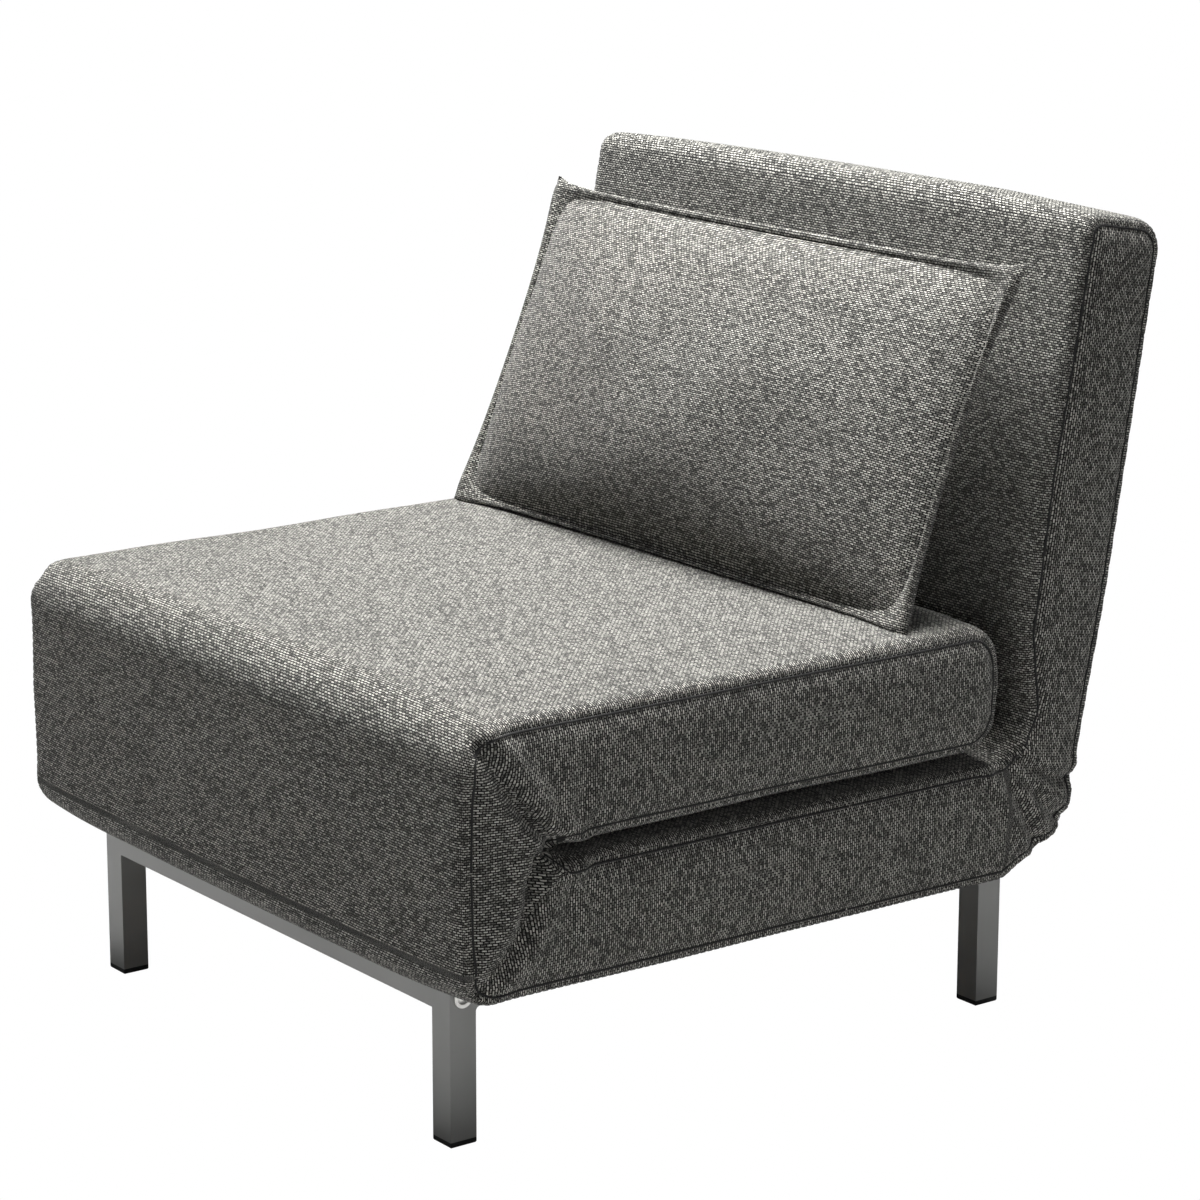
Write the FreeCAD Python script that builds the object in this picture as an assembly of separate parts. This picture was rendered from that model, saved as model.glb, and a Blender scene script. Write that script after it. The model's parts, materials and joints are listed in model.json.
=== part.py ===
import FreeCAD, Part
import math
import os
from FreeCAD import Vector

os.makedirs("parts", exist_ok=True)

# Convertible chair bed: a tube frame carries one long mattress in three sections.
# Millimetres, X across the chair, -Y to the front, +Z up, feet on Z = 0.

# Mattress sections
mattress_width = 824.0
pad_thickness = 133.0
pad_gap = 6.0
front_overhang = 38.0
fold_nose = 28.0
pinch_depth = 113.0
joint_gap = 0.5
side_round = 24.0
seat_crown = 6.0
front_crown = 4.0
cover_thickness = 3.0
foam_clearance = 0.3
room = 1.0
seat_length = 653.0

# Tube frame
side_overhang = 87.0
rear_overhang = 49.0
frame_width = mattress_width - 2 * side_overhang
frame_depth = seat_length + rear_overhang
rail_top = 168.0
tube = 30.0
tube_wall = 1.5
weld_radius = 5.0
cross_rail_drop = 2.5
front_leg_y = -391.74
foot_height = 6.0
foot_plug = 20.0
foot_clearance = 0.3

# Frame bolts
bolt_size = 8.0
bolt_length = 56.0
bolt_head = 14.0
bolt_head_height = 4.4
bolt_socket = 5.0
bolt_socket_depth = 2.6
bolt_hole_clearance = 0.3
washer_size = 21.0
washer_thickness = 1.6
insert_length = 30.0

# Sprung deck
slat_count = 7
slat_width = 60.0
slat_thickness = 10.0
slat_margin = 34.0
holder_reach = 24.0
holder_lip = 1.0
holder_floor = 4.0
holder_wall = 4.0
deck_clearance = 0.3

# Stay rod in the notches of the side rails
notch_width = 32.0
notch_depth = 13.6
notch_radius = 8.0
notch_to_rear_leg = 75.0
stay_rod_size = 10.0
notch_from_front = frame_depth - notch_to_rear_leg

# Fold links between the sections
link_spacing = frame_width - 90.0
link_thickness = 5.0
link_width = 24.0
cheek_thickness = 5.0
pin_size = 8.0
pin_head = 13.0
pin_head_height = 2.0
running_gap = 0.5
pin_clearance = 0.08
bracket_plate = 2.3

# Frame inside the seat section
seat_tube = 20.0
seat_frame_back = 32.0
strap_width = 50.0
strap_thickness = 2.0
seat_strap_count = 6
strap_gap = 0.3

# Stand that drops from the seat section
stand_spacing = frame_width - 150.0
stand_rod = 14.0
stand_eye = 11.0
stand_above_frame = 11.0
stand_pin = 6.0
stand_foot_length = 60.0
stand_foot_wall = 3.0
stand_lug_thickness = 4.0
pocket_clearance = 6.0

# Backrest
back_lean = 10.0
back_thickness = 108.0
back_length = 598.0
back_crown = 7.0
back_top_round = 26.0
back_tube = 22.0
back_tube_bend = 70.0
back_tube_start = 64.0
back_tube_inset = 44.0
back_strap_count = 6
back_hinge_behind_seat = 50.0
back_hinge_height = 87.0
back_nose = 60.0
back_tail = 5.0

# Click hinge of the backrest
leaf_spacing = frame_width - 118.0
leaf_thickness = 4.0
leaf_radius = 36.0
leaf_gap = 0.6
leaf_foot = 22.0
detent_radius = 25.0
detent_step = 16.0
detent_count = 6
detent_ball = 8.0
detent_hole = 6.0
detent_cup_wall = 2.0
detent_cup_length = 9.0
hinge_pin = 10.0
hinge_pin_head = 17.0
hinge_head_height = 3.0
arm_length = 150.0
arm_width = 26.0
slot_margin = 8.0

# Loose pillow
pillow_width = mattress_width - 54.0
pillow_height = 380.0
pillow_thickness = 160.0
pillow_ear = 11.0
pillow_edge = 5.0
pillow_lean = 22.6
pillow_before_hinge = 88.5
pillow_middle_height = 619.8
pillow_cover_thickness = 2.0
pillow_least_swell = 0.5
pillow_swells = ((-1, 0), (-0.93, 0.35), (-0.78, 0.7), (-0.5, 0.93), (0, 1), (0.5, 0.93), (0.78, 0.7), (0.93, 0.35), (1, 0))

# Places worked out from the sizes above
half_frame = frame_width / 2
rear_leg_y = front_leg_y + frame_depth
cross_rail_top = rail_top - cross_rail_drop
cross_rail_mid = cross_rail_top - tube / 2
inner_face = half_frame - tube
pad_bottom = rail_top + deck_clearance
base_top = pad_bottom + pad_thickness
seat_bottom = base_top + pad_gap
seat_top = seat_bottom + pad_thickness
pad_front = front_leg_y - front_overhang
fold_y = pad_front + fold_nose
fold_low_z = pad_bottom + fold_nose
fold_high_z = seat_top - fold_nose
fold_mid_z = (fold_low_z + fold_high_z) / 2
pinch_y = pad_front + pinch_depth
seat_rear = pad_front + seat_length
half_mattress = mattress_width / 2
back_y = seat_rear + back_hinge_behind_seat
back_z = rail_top + back_hinge_height
back_front = back_z - base_top
back_rear = back_thickness + back_front


def box(x0, x1, y0, y1, z0, z1):
    return Part.makeBox(x1 - x0, y1 - y0, z1 - z0, Vector(x0, y0, z0))


def rod_x(radius, x0, x1, y, z):
    return Part.makeCylinder(radius, x1 - x0, Vector(x0, y, z), Vector(1, 0, 0))


def mirrored(shape):
    return shape.mirror(Vector(0, 0, 0), Vector(1, 0, 0))


def pair(shape):
    return [shape, mirrored(shape)]


def save(name, shapes):
    solids = [solid for shape in shapes for solid in shape.Solids]
    shape = solids[0] if len(solids) == 1 else Part.makeCompound(solids)
    shape.exportStep("parts/" + name + ".step")
    print(name, len(solids), round(shape.Volume / 1000, 1), shape.isValid())


def closed_wire(x, start, steps):
    """Wire in the plane X = x; a step is a point, or an arc's middle and end."""
    edges = []
    here = Vector(x, *start)
    for step in steps:
        if isinstance(step[0], tuple):
            middle, end = Vector(x, *step[0]), Vector(x, *step[1])
            edges.append(Part.Arc(here, middle, end).toShape())
        else:
            end = Vector(x, *step)
            edges.append(Part.LineSegment(here, end).toShape())
        here = end
    first = Vector(x, *start)
    if here.distanceToPoint(first) > 0.001:
        edges.append(Part.LineSegment(here, first).toShape())
    return Part.Wire(edges)


def prism(start, steps, x0, x1):
    face = Part.Face(closed_wire(x0, start, steps))
    return face.extrude(Vector(x1 - x0, 0, 0))


def hoop(radius, bend, half_width, open_end, closed_end, place):
    """Round bar bent to a U: two legs along the second axis and a crossing bar at their far end.

    place turns (across, along) into a point.
    """
    sign = 1 if closed_end > open_end else -1
    turn_at = closed_end - sign * bend
    along = place(0, 1) - place(0, 0)
    across = Vector(1, 0, 0)
    legs = [Part.makeCylinder(radius, abs(turn_at - open_end), place(x, open_end), along * sign)
            for x in (-half_width, half_width)]
    bar = Part.makeCylinder(radius, 2 * (half_width - bend), place(bend - half_width, closed_end), across)
    normal = across.cross(along)
    elbows = []
    for side in (-1, 1):
        ring = Part.makeCircle(radius, place(side * half_width, turn_at), along)
        centre = place(side * (half_width - bend), turn_at)
        elbows.append(Part.Face(Part.Wire(ring)).revolve(centre, normal, side * sign * 90))
    return legs[0].fuse([legs[1], bar] + elbows)


def polar(centre, radius, degrees):
    turn = math.radians(degrees)
    return (centre[0] + radius * math.cos(turn), centre[1] + radius * math.sin(turn))


def shrunk(point, centre, inset, half_size):
    """Point moved towards the centre, by the inset at the outline's far ends."""
    return tuple(c + (p - c) * (1 - inset / h) for p, c, h in zip(point, centre, half_size))


def upholstered(start, steps, centre, half_size, half_width, edge_round):
    """Pad whose outline draws in towards its two sides on a rounded edge."""
    wires = []
    for turn in (0, 35, 65, 90):
        x = half_width - edge_round * (1 - math.cos(math.radians(turn)))
        inset = edge_round * (1 - math.sin(math.radians(turn)))
        moved = []
        for step in steps:
            if isinstance(step[0], tuple):
                moved.append(tuple(shrunk(point, centre, inset, half_size) for point in step))
            else:
                moved.append(shrunk(step, centre, inset, half_size))
        wires.append(closed_wire(x, shrunk(start, centre, inset, half_size), moved))
    half = Part.makeLoft(wires, True, True)
    middle_face = Part.Face(wires[-1])
    middle = middle_face.extrude(Vector(-2 * (half_width - edge_round), 0, 0))
    return half.fuse([middle, mirrored(half)]).removeSplitter()


# Side frames: two legs and a rail welded as one, with a notch in the rail
def side_frame():
    x0, x1 = inner_face, half_frame
    outer = box(x0, x1, front_leg_y, rear_leg_y, foot_height, rail_top)
    opening = box(x0, x1, front_leg_y + tube, rear_leg_y - tube, foot_height - 1, rail_top - tube)
    corners = [edge for edge in opening.Edges
               if abs(edge.BoundBox.ZMin - (rail_top - tube)) < 0.01 and edge.BoundBox.XLength > 1]
    opening = opening.makeFillet(weld_radius, corners)
    bore_low, bore_high = x0 + tube_wall, x1 - tube_wall
    bores = [
        box(bore_low, bore_high, front_leg_y + tube_wall, front_leg_y + tube - tube_wall,
            foot_height, rail_top - tube_wall),
        box(bore_low, bore_high, rear_leg_y - tube + tube_wall, rear_leg_y - tube_wall,
            foot_height, rail_top - tube_wall),
        box(bore_low, bore_high, front_leg_y + tube / 2, rear_leg_y - tube / 2,
            rail_top - tube + tube_wall, rail_top - tube_wall),
    ]
    holes = [rod_x(bolt_size / 2 + bolt_hole_clearance, x0 - 1, x1 + 1, y, cross_rail_mid)
             for y in (front_leg_y + tube / 2, rear_leg_y - tube / 2)]
    return outer.cut([opening] + bores + holes + [notch_block(x0 - 1, x1 + 1, 0)])


def notch_block(x0, x1, clearance):
    half = notch_width / 2 - clearance
    middle = front_leg_y + notch_from_front
    low = rail_top - notch_depth + clearance
    block = box(x0, x1, middle - half, middle + half, low, rail_top)
    corners = [edge for edge in block.Edges
               if abs(edge.BoundBox.ZMax - low) < 0.01 and edge.BoundBox.XLength > 1]
    return block.makeFillet(notch_radius, corners)


# Cross rails with their threaded end inserts
def cross_rail(y0):
    z0 = cross_rail_top - tube
    outer = box(-inner_face, inner_face, y0, y0 + tube, z0, cross_rail_top)
    bore = box(-inner_face, inner_face, y0 + tube_wall, y0 + tube - tube_wall,
               z0 + tube_wall, cross_rail_top - tube_wall)
    return outer.cut(bore)


def rail_inserts():
    core = tube / 2 - tube_wall
    inserts = []
    for y in (front_leg_y + tube / 2, rear_leg_y - tube / 2):
        block = box(inner_face - insert_length, inner_face, y - core, y + core,
                    cross_rail_mid - core, cross_rail_mid + core)
        thread = rod_x(bolt_size / 2, inner_face - insert_length - 1, inner_face + 1, y, cross_rail_mid)
        inserts += pair(block.cut(thread))
    return inserts


def bolts_and_washers():
    bolts, washers = [], []
    face = half_frame + washer_thickness
    for y in (front_leg_y + tube / 2, rear_leg_y - tube / 2):
        centre = Vector(face, y, cross_rail_mid)
        shank = rod_x(bolt_size / 2, face - bolt_length, face, y, cross_rail_mid)
        rise = bolt_head_height
        ball_radius = (rise ** 2 + (bolt_head / 2) ** 2) / (2 * rise)
        ball = Part.makeSphere(ball_radius, centre + Vector(rise - ball_radius, 0, 0))
        head = ball.common(rod_x(bolt_head / 2, face, face + rise, y, cross_rail_mid))
        across = bolt_socket / math.sqrt(3)
        corners = [polar((y, cross_rail_mid), across, 60 * side) for side in range(6)]
        socket = prism(corners[-1], corners, face + rise - bolt_socket_depth, face + rise + 1)
        bolts += pair(shank.fuse(head.cut(socket)))
        disc = rod_x(washer_size / 2, half_frame, face, y, cross_rail_mid)
        hole = rod_x(bolt_size / 2 + bolt_hole_clearance, half_frame - 1, face + 1, y, cross_rail_mid)
        washers += pair(disc.cut(hole))
    return bolts, washers


def foot_caps():
    caps = []
    core = tube / 2 - tube_wall - foot_clearance
    for y in (front_leg_y + tube / 2, rear_leg_y - tube / 2):
        x = half_frame - tube / 2
        flange = box(x - tube / 2, x + tube / 2, y - tube / 2, y + tube / 2, 0, foot_height)
        rim = [edge for edge in flange.Edges if edge.BoundBox.ZMax < 0.01]
        flange = flange.makeFillet(foot_height / 2.4, rim)
        plug = box(x - core, x + core, y - core, y + core, foot_height - 1, foot_height + foot_plug)
        caps += pair(flange.fuse(plug))
    return caps


# Slats and the plastic pockets that hold their ends
slat_first = front_leg_y + tube + slat_margin + slat_width / 2
slat_last = front_leg_y + notch_from_front - notch_width / 2 - slat_margin / 2 - slat_width / 2
slat_pitch = (slat_last - slat_first) / (slat_count - 1)
holder_floor_z = rail_top - holder_lip - slat_thickness - holder_floor - 2 * deck_clearance
slat_z = holder_floor_z + holder_floor + deck_clearance


def deck():
    slats, holders = [], []
    for number in range(slat_count):
        y = slat_first + number * slat_pitch
        half = slat_width / 2
        end = inner_face - holder_wall
        slats.append(box(-end, end, y - half, y + half, slat_z, slat_z + slat_thickness))
        reach = inner_face - holder_reach
        block = box(reach, inner_face, y - half - holder_wall, y + half + holder_wall,
                    holder_floor_z, rail_top)
        slot = box(reach - 1, end + deck_clearance, y - half - deck_clearance, y + half + deck_clearance,
                   slat_z - deck_clearance, slat_z + slat_thickness + deck_clearance)
        holders += pair(block.cut(slot))
    return slats, holders


def stay():
    y = front_leg_y + notch_from_front
    z = rail_top - notch_depth / 2
    rod = rod_x(stay_rod_size / 2, -half_frame + 1, half_frame - 1, y, z)
    block = notch_block(inner_face, half_frame, deck_clearance)
    bore = rod_x(stay_rod_size / 2 + pin_clearance, inner_face - 1, half_frame - 1, y, z)
    return [rod], pair(block.cut(bore))


# Outlines of the mattress sections, seen from the side
pinch_turn = math.degrees(math.atan2(fold_mid_z - fold_low_z, pinch_y - fold_y))
pinch_far = math.hypot(fold_mid_z - fold_low_z, pinch_y - fold_y)
fold_turn = pinch_turn + math.degrees(math.acos(fold_nose / pinch_far))
fold_low = (fold_y, fold_low_z)
fold_high = (fold_y, fold_high_z)
back_axis = (back_y, back_z)


def fold_line(rise, offset):
    """Y of the slanted joint between two sections, at a height from the fold's axis."""
    turn = math.radians(fold_turn)
    return fold_y + (math.sin(turn) * rise - fold_nose - offset) / -math.cos(turn)


def base_outline(inset):
    nose = fold_nose - inset
    rear = back_nose - inset
    low, high = pad_bottom + inset, base_top - inset
    top_front = (fold_line(high - fold_low_z, -inset), high)
    tail = polar(back_axis, rear, 137)
    under = polar(back_axis, rear, -75)
    steps = [
        (polar(fold_low, nose, 200), polar(fold_low, nose, fold_turn)),
        top_front,
        (tail[0] - 16, high),
        tail,
        (polar(back_axis, rear, 40), under),
        (polar((under[0] - 40, low + 34), 34, -70), (under[0] - 40, low)),
        (fold_y, low),
    ]
    return (fold_y, low), steps


def seat_outline(inset):
    nose = fold_nose - inset
    low, high = seat_bottom + inset, seat_top - inset
    low_front = (fold_line(fold_high_z - low, -inset), low)
    rear = seat_rear - inset
    corner = side_round
    nip = 1 - math.sqrt(0.5)
    steps = [
        ((fold_y + (rear - corner - fold_y) / 2, high + seat_crown), (rear - corner, high)),
        ((rear - corner * nip, high - corner * nip), (rear, high - corner)),
        (rear, low + corner),
        ((rear - corner * nip, low + corner * nip), (rear - corner, low)),
        low_front,
        polar(fold_high, nose, -fold_turn),
        (polar(fold_high, nose, 160), (fold_y, high)),
    ]
    return (fold_y, high), steps


def fold_outline(inset):
    front = pad_front + inset
    offset = joint_gap + inset
    rise = fold_nose * 0.8 + inset
    low_z, high_z = fold_low_z + rise, fold_high_z - rise
    entry = fold_line(rise, offset)
    steps = [
        (entry, low_z),
        (fold_line(fold_mid_z - fold_low_z, offset), fold_mid_z),
        (entry, high_z),
        (front, high_z),
        ((front - front_crown, fold_mid_z), (front, low_z)),
    ]
    return (front, low_z), steps


def back_outline(inset):
    front, rear = back_front + inset, back_rear - inset
    clear = back_nose + joint_gap + inset
    top = back_length - inset
    corner = back_top_round
    nip = 1 - math.sqrt(0.5)
    front_low = math.sqrt(clear ** 2 - front ** 2)
    tail_out = rear - back_tail
    tail_z = math.sqrt(clear ** 2 - tail_out ** 2)
    middle = front_low + (top - corner - front_low) / 2
    steps = [
        ((front - back_crown, middle), (front, top - corner)),
        ((front + corner * nip, top - corner * nip), (front + corner, top)),
        (rear - corner, top),
        ((rear - corner * nip, top - corner * nip), (rear, top - corner)),
        ((rear + back_crown / 2, middle), (rear, tail_z)),
        (tail_out, tail_z),
        (polar((0, 0), clear, 75), (front, front_low)),
    ]
    return (front, front_low), steps


def section(outline, centre, half_size, inset):
    start, steps = outline(inset)
    reach = half_mattress - inset
    return upholstered(start, steps, centre, half_size, reach, side_round)


def cover_and_foam(outline, centre, half_size, hollows):
    """Cover shell and foam core, both cut by the hollows for the frame inside."""
    outer = section(outline, centre, half_size, 0)
    inner = section(outline, centre, half_size, cover_thickness)
    foam = section(outline, centre, half_size, cover_thickness + foam_clearance)
    return outer.cut([inner] + hollows["cover"]), foam.cut(hollows["foam"])


# Fold links: each bar sits between the two cheeks of a fork
link_x = link_spacing / 2
fork_in = link_x - link_thickness / 2 - running_gap - cheek_thickness
fork_out = link_x + link_thickness / 2 + running_gap + cheek_thickness
slot_in = fork_in - pin_head_height - slot_margin / 2
slot_out = fork_out + pin_head_height + slot_margin / 2


def link_bars():
    x0, x1 = link_x - link_thickness / 2, link_x + link_thickness / 2
    half = link_width / 2
    bar = box(x0, x1, fold_y - half, fold_y + half, fold_low_z, fold_high_z)
    ends = [rod_x(half, x0, x1, fold_y, z) for z in (fold_low_z, fold_high_z)]
    eyes = [rod_x(pin_size / 2 + pin_clearance, x0 - 1, x1 + 1, fold_y, z)
            for z in (fold_low_z, fold_high_z)]
    return pair(bar.fuse(ends).cut(eyes))


def link_pins(z):
    shank = rod_x(pin_size / 2, fork_in - pin_head_height, fork_out + pin_head_height, fold_y, z)
    heads = [rod_x(pin_head / 2, x, x + pin_head_height, fold_y, z)
             for x in (fork_in - pin_head_height, fork_out)]
    return pair(shank.fuse(heads))


def cheeks(solid, z):
    """Pair of round-ended cheeks that the given solid is split into at the fork."""
    gap = box(link_x - link_thickness / 2 - running_gap, link_x + link_thickness / 2 + running_gap,
              fold_y - 60, fold_y + link_width / 2 + running_gap, z - 60, z + 60)
    eye = rod_x(pin_size / 2, fork_in - 1, fork_out + 1, fold_y, z)
    return solid.cut([gap, eye])


def fold_brackets():
    half = link_width / 2
    plate = box(fork_in, fork_out, front_leg_y, front_leg_y + tube, cross_rail_top, cross_rail_top + bracket_plate)
    foot = (front_leg_y + tube, cross_rail_top)
    toe = (front_leg_y + 1, cross_rail_top)
    lean = polar(fold_low, half, 200)
    profile = [toe, lean, (polar(fold_low, half, 110), polar(fold_low, half, 20)), foot]
    return pair(cheeks(prism(foot, profile, fork_in, fork_out), fold_low_z).fuse(plate))


# Frame inside the seat section, with forks for the links and lugs for the stand
def seat_frame():
    half = seat_tube / 2
    z0, z1 = fold_high_z - half, fold_high_z + half
    front = fold_y + 16
    rear = seat_rear - seat_frame_back
    outer = box(-fork_out, fork_out, front, rear, z0, z1)
    opening = box(-fork_in, fork_in, front + seat_tube, rear - seat_tube, z0 - 1, z1 + 1)
    wall = tube_wall
    bore = box(-fork_out + wall, fork_out - wall, front + wall, rear - wall, z0 + wall, z1 - wall)
    core = box(-fork_in - wall, fork_in + wall, front + seat_tube - wall, rear - seat_tube + wall, z0, z1)
    frame = outer.cut([opening, bore.cut(core)])
    nose = prism((front, z1), [
        (fold_y, z1),
        (polar(fold_high, half, 180), (fold_y, z0)),
        (front, z0),
    ], fork_in, fork_out)
    frame = frame.fuse(pair(cheeks(nose, fold_high_z)))
    lug_y, lug_z = stand_pivot
    lugs = []
    for side in (-1, 1):
        lug_x = stand_x + side * (stand_eye / 2 + running_gap + stand_lug_thickness / 2)
        lugs.append(prism((rear - seat_tube, stand_pivot[1] - 8), [
            (rear - seat_tube, z1 + 2),
            polar(stand_pivot, 8, 60),
            (polar(stand_pivot, 8, 130), polar(stand_pivot, 8, 200)),
        ], lug_x - stand_lug_thickness / 2, lug_x + stand_lug_thickness / 2))
    lugs = [lug.cut(rod_x(stand_pin / 2, 0, half_mattress, lug_y, lug_z)) for lug in lugs]
    return frame.fuse([piece for lug in lugs for piece in pair(lug)])


def seat_straps():
    first = fold_y + link_width / 2 + seat_tube + strap_width
    last = seat_rear - seat_frame_back - seat_tube - strap_width
    step = (last - first) / (seat_strap_count - 1)
    top = fold_high_z - seat_tube / 2 - strap_gap
    return [box(-fork_out, fork_out, y - strap_width / 2, y + strap_width / 2, top - strap_thickness, top)
            for y in (first + step * number for number in range(seat_strap_count))]


# Stand: a bent rod that lies in a pocket of the seat and swings down to the floor
stand_x = stand_spacing / 2
stand_pivot = (seat_rear - seat_frame_back - seat_tube - stand_eye - 1, fold_high_z + stand_above_frame)
stand_run = fold_low_z - (stand_pivot[1] - fold_high_z)
stand_reach = stand_run - stand_rod / 2 - stand_foot_wall - 1


def stand():
    y, z = stand_pivot
    radius = stand_rod / 2
    tip = y - stand_reach
    bend = 3 * radius
    rod = hoop(radius, bend, stand_x, y, tip, lambda across, along: Vector(across, along, z))
    flat = stand_eye / 2
    trims, eyes = [], []
    for x in (-stand_x, stand_x):
        around = box(x - 2 * radius, x + 2 * radius, y - radius - 2, y + radius, z - 2 * radius, z + 2 * radius)
        tongue = box(x - flat, x + flat, y - radius - 2, y + radius, z - radius, z + radius)
        trims.append(around.cut(tongue))
        eyes.append(rod_x(stand_pin / 2 + pin_clearance, x - 2 * radius, x + 2 * radius, y, z))
    rounded = [rod_x(radius, x - flat, x + flat, y, z) for x in (-stand_x, stand_x)]
    rod = rod.fuse(rounded).cut(trims + eyes)
    foot_x = stand_x - 2 * bend
    feet = []
    for x0 in (-foot_x, foot_x - stand_foot_length):
        sleeve = rod_x(radius + stand_foot_wall, x0, x0 + stand_foot_length, tip, z)
        feet.append(sleeve.cut(rod_x(radius, x0 - 1, x0 + stand_foot_length + 1, tip, z)))
    reach = stand_eye / 2 + running_gap + stand_lug_thickness + 1
    pins = pair(rod_x(stand_pin / 2, stand_x - reach, stand_x + reach, y, z))
    return rod, feet, pins


def stand_pocket():
    y, z = stand_pivot
    side = stand_x + stand_eye / 2 + stand_lug_thickness + 2 * pocket_clearance
    front = y - stand_reach - stand_rod / 2 - stand_foot_wall - pocket_clearance
    rear = seat_rear - seat_frame_back - seat_tube + 1
    return box(-side, side, front, rear, z - stand_rod / 2 - stand_foot_wall - 1, seat_top + 40)


# Click hinge: a leaf with detent holes stands on the frame, the arm carries the ball
leaf_x = leaf_spacing / 2
arm_x = leaf_x + leaf_thickness + leaf_gap
arm_end_x = arm_x + leaf_thickness
hinge_in = leaf_x - hinge_head_height
cup_end_x = arm_end_x + detent_cup_length
cup_turn = 90.0
hinge_low = leaf_x - hinge_head_height - 3
hinge_high = cup_end_x + 3


def hinge_leaf():
    y, z = back_axis
    x0, x1 = leaf_x, leaf_x + leaf_thickness
    disc = rod_x(leaf_radius, x0, x1, y, z)
    rail_front, rail_rear = rear_leg_y - tube, rear_leg_y
    leg = prism((rail_front, cross_rail_top), [
        polar(back_axis, leaf_radius, 188),
        polar(back_axis, leaf_radius, -20),
        (rail_rear, cross_rail_top),
    ], x0, x1)
    foot = box(x0 - leaf_foot, x1, rail_front, rail_rear, cross_rail_top, cross_rail_top + leaf_thickness)
    holes = [rod_x(hinge_pin / 2, x0 - 1, x1 + 1, y, z)]
    for number in range(detent_count):
        hole = polar(back_axis, detent_radius, cup_turn - back_lean - number * detent_step)
        holes.append(rod_x(detent_hole / 2, x0 - 1, x1 + 1, *hole))
    return disc.fuse([leg, foot]).cut(holes)


def hinge_arm():
    """Arm in the backrest's own upright frame, hinge axis at the origin."""
    half = arm_width / 2
    plate = box(arm_x, arm_end_x, -half, half, 0, arm_length).fuse([
        rod_x(leaf_radius, arm_x, arm_end_x, 0, 0),
        rod_x(half, arm_x, arm_end_x, 0, arm_length),
    ])
    spot = polar((0, 0), detent_radius, cup_turn)
    cup = rod_x(detent_ball / 2 + detent_cup_wall, arm_end_x, cup_end_x, *spot)
    bore = rod_x(detent_ball / 2 + pin_clearance, arm_x - 1, cup_end_x - detent_cup_wall, *spot)
    hole = rod_x(hinge_pin / 2 + pin_clearance, arm_x - 1, arm_end_x + 1, 0, 0)
    return plate.fuse(cup).cut([bore, hole])


def detent_ball_solid():
    spot = polar((0, 0), detent_radius, cup_turn)
    depth = leaf_gap * 0.8
    return Part.makeSphere(detent_ball / 2, Vector(arm_x - depth + detent_ball / 2, *spot))


def hinge_pin_solid():
    y, z = back_axis
    x0, x1 = leaf_x - hinge_head_height, arm_end_x + leaf_gap
    shank = rod_x(hinge_pin / 2, x0, x1 + hinge_head_height, y, z)
    heads = [rod_x(hinge_pin_head / 2, x, x + hinge_head_height, y, z) for x in (x0, x1)]
    return shank.fuse(heads)


# Backrest frame, in the backrest's own upright frame
back_tube_x = cup_end_x + back_tube / 2 - detent_cup_length + 0.3
back_frame_top = back_length - back_tube_inset


def back_frame_solid():
    def bent_tube(radius):
        return hoop(radius, back_tube_bend, back_tube_x, back_tube_start, back_frame_top,
                    lambda across, along: Vector(across, 0, along))

    bar = rod_x(back_tube / 2 - tube_wall, -back_tube_x, back_tube_x, 0, arm_length + 2 * back_tube)
    return bent_tube(back_tube / 2).fuse(bar).cut(bent_tube(back_tube / 2 - tube_wall))


def back_straps():
    first = arm_length + arm_width / 2 + strap_width
    last = back_frame_top - back_tube_bend
    step = (last - first) / (back_strap_count - 1)
    front = -back_tube / 2 - strap_gap
    reach = back_tube_x + back_tube / 2
    return [box(-reach, reach, front - strap_thickness, front, z - strap_width / 2, z + strap_width / 2)
            for z in (first + step * number for number in range(back_strap_count))]


def leaned(shapes):
    moved = []
    for shape in shapes:
        copy = shape.copy()
        copy.rotate(Vector(0, 0, 0), Vector(1, 0, 0), -back_lean)
        copy.translate(Vector(0, *back_axis))
        moved.append(copy)
    return moved


# Loose pillow: a lens that is thickest in the middle and ends in flat pointed ears
def pillow_section(x, swell, inset):
    half_height = pillow_height / 2 - pillow_ear * swell - inset
    edge = pillow_edge / 2 - inset / 2
    half_thick = edge + (pillow_thickness / 2 - inset - edge) * swell + pillow_least_swell
    return closed_wire(x, (-edge, -half_height), [
        (edge, -half_height),
        ((half_thick, 0), (edge, half_height)),
        (-edge, half_height),
        ((-half_thick, 0), (-edge, -half_height)),
    ])


def pillow_solid(inset):
    half_width = pillow_width / 2 - inset
    wires = [pillow_section(half_width * share, swell, inset) for share, swell in pillow_swells]
    solid = Part.makeLoft(wires, True, True)
    solid.rotate(Vector(0, 0, 0), Vector(1, 0, 0), -pillow_lean)
    solid.translate(Vector(0, back_y - pillow_before_hinge, pillow_middle_height))
    return solid


# Hollows that the frames, links and hinges need in the pads
base_mid = ((pad_front + back_y) / 2, (pad_bottom + base_top) / 2)
base_half = ((back_y + back_nose - pad_front) / 2, pad_thickness / 2)
seat_mid = ((pad_front + seat_rear) / 2, (seat_bottom + seat_top) / 2)
seat_half = (seat_length / 2, pad_thickness / 2)
fold_mid = (pad_front + pinch_depth / 2.6, fold_mid_z)
fold_half = (pinch_depth / 2, (fold_high_z - fold_low_z) / 2)
back_mid = ((back_front + back_rear) / 2, back_length / 2)
back_half = (back_thickness / 2, back_length / 2)

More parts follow.
